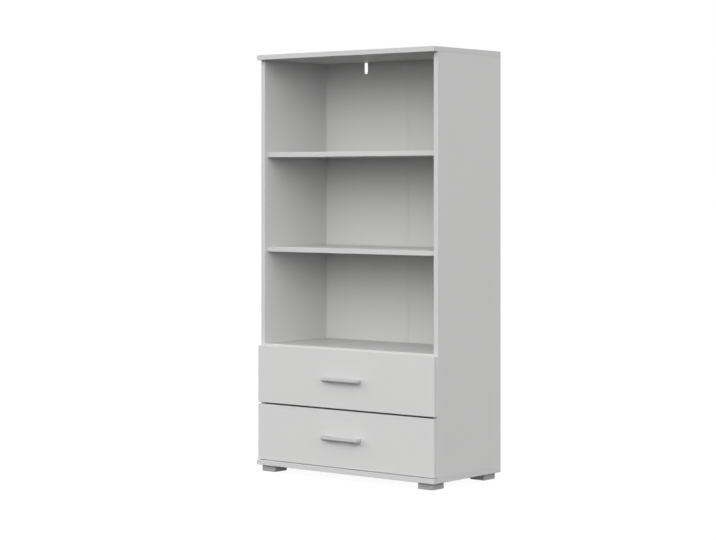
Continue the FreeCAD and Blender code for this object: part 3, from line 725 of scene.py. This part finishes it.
def joint_strip():
    """H-shaped strip with low crowned faces.

    The outline is drawn across and led straight up. A face stands out from its edge by the crown
    times 1 less the square of its share of the way from middle to side.
    """
    node = "back_joint_strip"
    low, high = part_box(node)
    front, rear = (corner.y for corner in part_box("back_panel_left"))
    half = high.x
    web = strip_web / 2
    x = np.linspace(strip_corner - half, half - strip_corner, strip_steps)
    rise = strip_crown * (1 - (x / half) ** 2)
    outline = np.vstack([
        [(-half, front), (-half, low.y + strip_corner)], np.column_stack([x, low.y - rise]),
        [(half, low.y + strip_corner), (half, front), (web, front), (web, rear), (half, rear),
         (half, high.y - strip_corner)], np.column_stack([x, high.y + rise])[::-1],
        [(-half, high.y - strip_corner), (-half, rear), (-web, rear), (-web, front)]])
    rows = np.stack([np.column_stack([outline, np.full(len(outline), z)]) for z in (low.z, high.z)])
    piece("crowned_joint_strip", [lidded(rows)], "carcass", strip_plastic, node)


# ---------------------------------------------------------------- rollers

rim_round = 1.0 * MM
rim_wall = 2.4 * MM
hub_wall = 2.0 * MM
roller_bore = 2.2 * MM       # its radius
web_depth = 0.9 * MM         # hollow between rim and hub, its walls lean by half of this
web_edge = 0.4 * MM          # rounding where the hollow meets rim and hub
web_corner = 0.3 * MM        # and at its floor
rim_steps = 5                # points in each rounded corner


def roller(name):
    """Nylon wheel: rounded rim, a hollow web on both faces and a hub round its bore.

    An outline of rounded (radius, height) corners is turned about X as a ring.
    """
    low, high = np.array(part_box(name))
    centre = (low + high) / 2
    radius = (high[2] - low[2]) / 2
    half = (high[0] - low[0]) / 2
    lean = web_depth / 2
    face = [(roller_bore + hub_wall, half, web_edge),
            (roller_bore + hub_wall + lean, half - web_depth, web_corner),
            (radius - rim_wall - lean, half - web_depth, web_corner),
            (radius - rim_wall, half, web_edge), (radius, half, rim_round)]
    corners = face + [(r, -h, k) for r, h, k in face[::-1]]
    corners = [(roller_bore, half, 0)] + corners + [(roller_bore, -half, 0)]
    profile = rounded(corners, rim_steps)
    shape = turned(profile[:, 0], profile[:, 1], centre, RIGHT, ring=True)
    piece(name + "_wheel", [shape], name, nylon, name)


# ---------------------------------------------------------------- screws, cams and caps

recess_depth = 1.3 * MM      # of a screw
recess_seat = 0.55           # but at most this share of its head's depth
recess_reach = 0.62          # half the cross, as a share of the head's radius
recess_width = 0.9 * MM      # of each bar of the cross
recess_soft = 0.25 * MM      # of a bar's soft edge
recess_middle = 1.2          # depth in the middle as a share, cut off at 1
recess_fall = 0.6            # less this at the tips of the cross

head_steps = 22              # rings on a screw's head
countersunk = 0.0            # rise of a head as a share of its radius
low_dome = 0.1
pan_dome = 0.3
depth_decimals = 5           # depths that are equal to so many decimals are one

cam_depth = 2.2 * MM         # of a cam's cross
cam_reach = 0.55
cam_bevel = 0.3 * MM
cam_steps = 30
cap_power = 6                # the higher, the flatter the cap's middle
cap_steps = 12


def cross_recess(radii, reach, depth):
    """Depth of a cross recess at (ring, side) points.

    It is depth times the larger of two crossed bars with soft edges, times a fall along them:
    recess_middle less recess_fall times distance over reach, cut off at 1.
    """
    x = radii[:, None] * np.cos(turn_angles)
    y = radii[:, None] * np.sin(turn_angles)

    def inside(value, limit):
        """1 within limit of the middle line, 0 beyond it, over a soft edge."""
        return np.clip((limit - np.abs(value)) / recess_soft + 0.5, 0, 1)

    bars = np.maximum(inside(x, recess_width / 2) * inside(y, reach),
                      inside(y, recess_width / 2) * inside(x, reach))
    return depth * bars * np.clip(recess_middle - np.hypot(x, y) / reach * recess_fall, 0, 1)


def faced(rings, face, behind, centre, out):
    """Turned solid: a face of (ring, side) heights, closed by (radius, height) corners behind it."""
    behind = np.array(behind)
    radii = np.concatenate([rings, behind[:, 0]])
    heights = np.vstack([face, np.repeat(behind[:, 1:], turn_sides, axis=1)])
    return turned(radii, heights, centre, out)


def screw(points, dome):
    """Screw in the place of a CAD screw, whose head is the wider end.

    The head's face falls from its middle by dome times its radius times the radius share squared,
    and by the cross recess. Behind it the head ends flat on the shank, or runs into it along a
    cone where it is countersunk. The shank ends in a cone of 45 degrees.
    """
    low, high = points.min(0), points.max(0)
    way = int(np.argmax(high - low))
    tips = [points[np.abs(points[:, way] - side[way]) < same_place] for side in (low, high)]
    spans = [np.ptp(tip, axis=0).max() / 2 for tip in tips]
    head, shank = max(spans), min(spans)
    head_high = spans[1] > spans[0]
    centre = (low + high) / 2
    centre[way] = high[way] if head_high else low[way]
    out = np.eye(3)[way] if head_high else -np.eye(3)[way]
    length = high[way] - low[way]
    seat = np.unique(np.round(np.abs(points[:, way] - centre[way]), depth_decimals))[1]
    rings = np.linspace(0, head, head_steps)
    recess = cross_recess(rings, recess_reach * head, min(recess_depth, recess_seat * seat))
    crown = -(dome * head) * (rings / head) ** 2
    cone = head - shank if dome == countersunk else 0
    return faced(rings, crown[:, None] - recess,
                 [(head, -seat), (shank, -seat - cone), (shank, shank - length), (0, -length)],
                 centre, out)


def inward(low, high):
    """Way from a box on the left or right to the middle of the case, the x of the box's side
    there and the x of its side away from there."""
    return (RIGHT, high[0], low[0]) if low[0] + high[0] < 0 else (-RIGHT, low[0], high[0])


def cam(points):
    """Cam housing: a flat disc less the cross recess, with a bevelled rim.

    It faces down in the fixed shelf, and the middle of the case in a side panel or a drawer's side.
    """
    low, high = points.min(0), points.max(0)
    span = high - low
    way = int(np.argmin(span))
    centre = (low + high) / 2
    if way == 2:
        out = -UP
        centre[2] = low[2]
    else:
        out, centre[0], _ = inward(low, high)
    radius = np.sort(span)[1:].mean() / 2
    rings = np.linspace(0, radius - cam_bevel, cam_steps)
    face = -cross_recess(rings, cam_reach * radius, cam_depth)
    return faced(rings, face, [(radius, -cam_bevel), (radius, -span[way]), (0, -span[way])],
                 centre, out)


def cap(points):
    """Cover cap on a side panel: a low dome, its height times 1 less the radius share to the power
    cap_power."""
    low, high = points.min(0), points.max(0)
    centre = (low + high) / 2
    out, _, centre[0] = inward(low, high)
    radius = np.sort(high - low)[1:].mean() / 2
    share = np.linspace(0, 1, cap_steps)
    radii = np.concatenate([share * radius, [0]])
    heights = np.concatenate([(high[0] - low[0]) * (1 - share ** cap_power), [0]])
    return turned(radii, heights, centre, out)


def fittings(name, node, make, body, material):
    """One piece of all the solids in a node, each made anew in its own place."""
    piece(name, [make(solid) for solid in solids_of(node)], body, material, node)


def screws(node, body, dome):
    """Every screw of a node, with heads of one kind."""
    fittings(node + "_turned", node, lambda solid: screw(solid, dome), body, zinc)


def fastenings():
    """Screws, cams and caps of the case and of both drawers."""
    screws("channel_screws", "carcass", countersunk)
    screws("foot_screws", "carcass", pan_dome)
    fittings("cam_discs", "cam_locks", cam, "carcass", zinc)
    fittings("cover_caps", "cam_caps", cap, "carcass", strip_plastic)
    for drawer in drawers:
        body = drawer + "_drawer"
        screws(drawer + "_handle_screws", body, pan_dome)
        screws(drawer + "_back_screws", body, low_dome)
        screws(drawer + "_rail_screws", body, countersunk)
        fittings(drawer + "_cam_discs", drawer + "_front_cams", cam, body, zinc)


# ---------------------------------------------------------------- floor, sky and camera

def seen_directly(tree):
    """1 for what the camera sees, directly or in gloss or glass."""
    path = add(tree, "LightPath").outputs
    rays = ("Is Camera Ray", "Is Glossy Ray", "Is Transmission Ray")
    return gathered(tree, "MAXIMUM", [path[ray] for ray in rays])


def make_floor():
    """Pale floor that shows white with a soft shadow, and gives the case little light back."""
    mesh = bpy.data.meshes.new("floor")
    corners = [(-1, -1), (1, -1), (1, 1), (-1, 1)]
    mesh.from_pydata([(floor_half * x, floor_half * y, 0) for x, y in corners], [], [(0, 1, 2, 3)])
    floor = bpy.data.objects.new("floor", mesh)
    bpy.context.scene.collection.objects.link(floor)
    material = bpy.data.materials.new("pale floor")
    material.use_nodes = True
    tree = material.node_tree
    tree.nodes.remove(tree.nodes["Principled BSDF"])
    glow = add(tree, "Emission", {"Strength": floor_glow})
    grey = add(tree, "BsdfDiffuse", {"Color": opaque([floor_grey] * 3)})
    shown = add(tree, "AddShader", {0: glow.outputs[0], 1: grey.outputs[0]})
    dull = add(tree, "BsdfDiffuse", {"Color": opaque([floor_bounce] * 3)})
    mixed = add(tree, "MixShader", {0: seen_directly(tree), 1: dull.outputs[0], 2: shown.outputs[0]})
    tree.links.new(mixed.outputs[0], tree.nodes["Material Output"].inputs["Surface"])
    mesh.materials.append(material)


def make_sky():
    """Soft lamps on a dark sky: the sum of each one's strength times the cosine of the angle off
    its middle, never under 0, to the power lamp_focus. Seen directly, the sky is white."""
    world = bpy.data.worlds.new("sky")
    bpy.context.scene.world = world
    world.use_nodes = True
    tree = world.node_tree
    way = add(tree, "TexCoord").outputs["Generated"]
    dome = 0.0
    for lamp in lamps:
        turn, rise = math.radians(lamp.azimuth), math.radians(lamp.elevation)
        middle = (math.sin(turn) * math.cos(rise), -math.cos(turn) * math.cos(rise), math.sin(rise))
        near = calc(tree, "MAXIMUM", dot(tree, way, middle), 0.0)
        soft = calc(tree, "POWER", near, lamp_focus)
        dome = calc(tree, "MULTIPLY_ADD", soft, lamp.strength, dome)
    seen = seen_directly(tree)
    white = calc(tree, "ADD", calc(tree, "MULTIPLY", calc(tree, "SUBTRACT", 1.0, seen), dome), seen)
    tree.links.new(white, tree.nodes["Background"].inputs["Strength"])
    tree.nodes["Background"].inputs["Color"].default_value = opaque((1, 1, 1))


def make_camera():
    """Level camera whose picture is shifted, not tilted, so that upright edges stay upright."""
    camera = bpy.data.cameras.new("camera")
    camera.lens = camera_lens
    camera.shift_y = camera_shift
    holder = bpy.data.objects.new("camera", camera)
    holder.location = camera_place
    holder.rotation_euler = (math.pi / 2, 0, math.radians(camera_turn))
    bpy.context.scene.collection.objects.link(holder)
    bpy.context.scene.camera = holder
    bpy.context.scene.view_settings.view_transform = "Standard"


make_camera()
make_sky()
make_floor()
finish_boards()
finish_sheets()
finish_fittings()
fastenings()
joint_strip()
for drawer_name in drawers:
    bow_handle(drawer_name)
    for end_name in ends:
        for hand_name in hands:
            roller(f"{drawer_name}_{end_name}_roller_{hand_name}")
